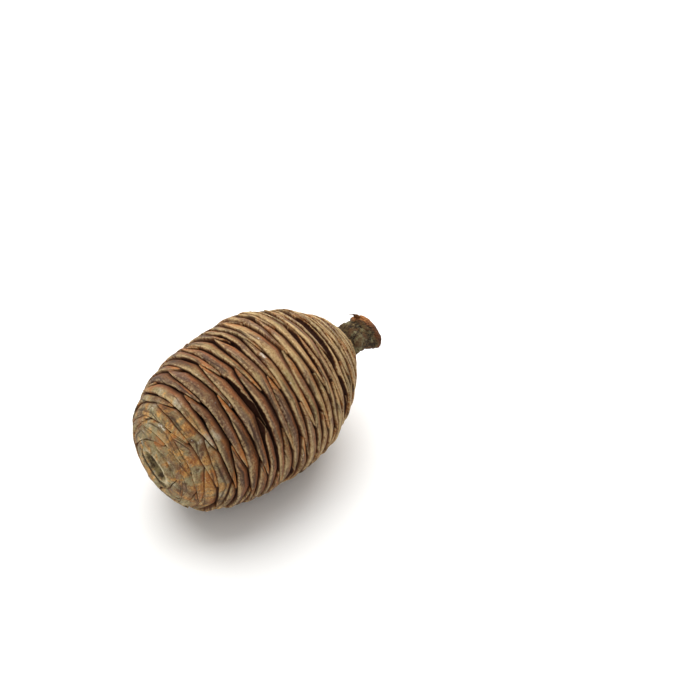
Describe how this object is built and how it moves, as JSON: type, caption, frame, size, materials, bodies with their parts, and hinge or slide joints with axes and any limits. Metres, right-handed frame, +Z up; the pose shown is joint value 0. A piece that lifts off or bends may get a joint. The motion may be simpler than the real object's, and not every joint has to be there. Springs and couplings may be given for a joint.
{
  "type": "deodar cedar cone",
  "caption": "closed barrel-shaped cedar seed cone lying on its side: stubby broken stem, tight spiral of broad overlapping fan scales, dimpled tip",
  "frame": {"origin": "on the surface that the cone rests on, under the middle of its bounding box", "axes": "+X runs along the cone's middle line towards its tip, away from the stem; +Z is up; +Y completes a right-handed frame"},
  "size_m": [0.1062, 0.062, 0.0615],
  "materials": {
    "bark": "rough weathered bark",
    "scale_wood": "dry matte woody scale",
    "tip_wood": "dry matte wood"
  },
  "bodies": {
    "root": {"stem_and_spindle": "bark", "scale_tier_01": "scale_wood", "scale_tier_02": "scale_wood", "scale_tier_03": "scale_wood", "scale_tier_04": "scale_wood", "scale_tier_05": "scale_wood", "scale_tier_06": "scale_wood", "scale_tier_07": "scale_wood", "scale_tier_08": "scale_wood", "scale_tier_09": "scale_wood", "scale_tier_10": "scale_wood", "scale_tier_11": "scale_wood", "scale_tier_12": "scale_wood", "scale_tier_13": "scale_wood", "scale_tier_14": "scale_wood", "scale_tier_15": "scale_wood", "scale_tier_16": "scale_wood", "scale_tier_17": "scale_wood", "scale_tier_18": "scale_wood", "scale_tier_19": "scale_wood", "scale_tier_20": "scale_wood", "scale_tier_21": "scale_wood", "scale_tier_22": "scale_wood", "scale_tier_23": "scale_wood", "scale_tier_24": "scale_wood", "scale_tier_25": "scale_wood", "scale_tier_26": "scale_wood", "scale_tier_27": "scale_wood", "scale_tier_28": "scale_wood", "scale_tier_29": "scale_wood", "scale_tier_30": "scale_wood", "scale_tier_31": "scale_wood", "scale_tier_32": "scale_wood", "scale_tier_33": "scale_wood", "scale_tier_34": "scale_wood", "scale_tier_35": "scale_wood", "scale_tier_36": "scale_wood", "scale_tier_37": "scale_wood", "scale_tier_38": "scale_wood", "scale_tier_39": "scale_wood", "scale_tier_40": "scale_wood", "scale_tier_41": "scale_wood", "scale_tier_42": "scale_wood", "scale_tier_43": "scale_wood", "tip_button": "tip_wood"}
  },
  "joints": []
}
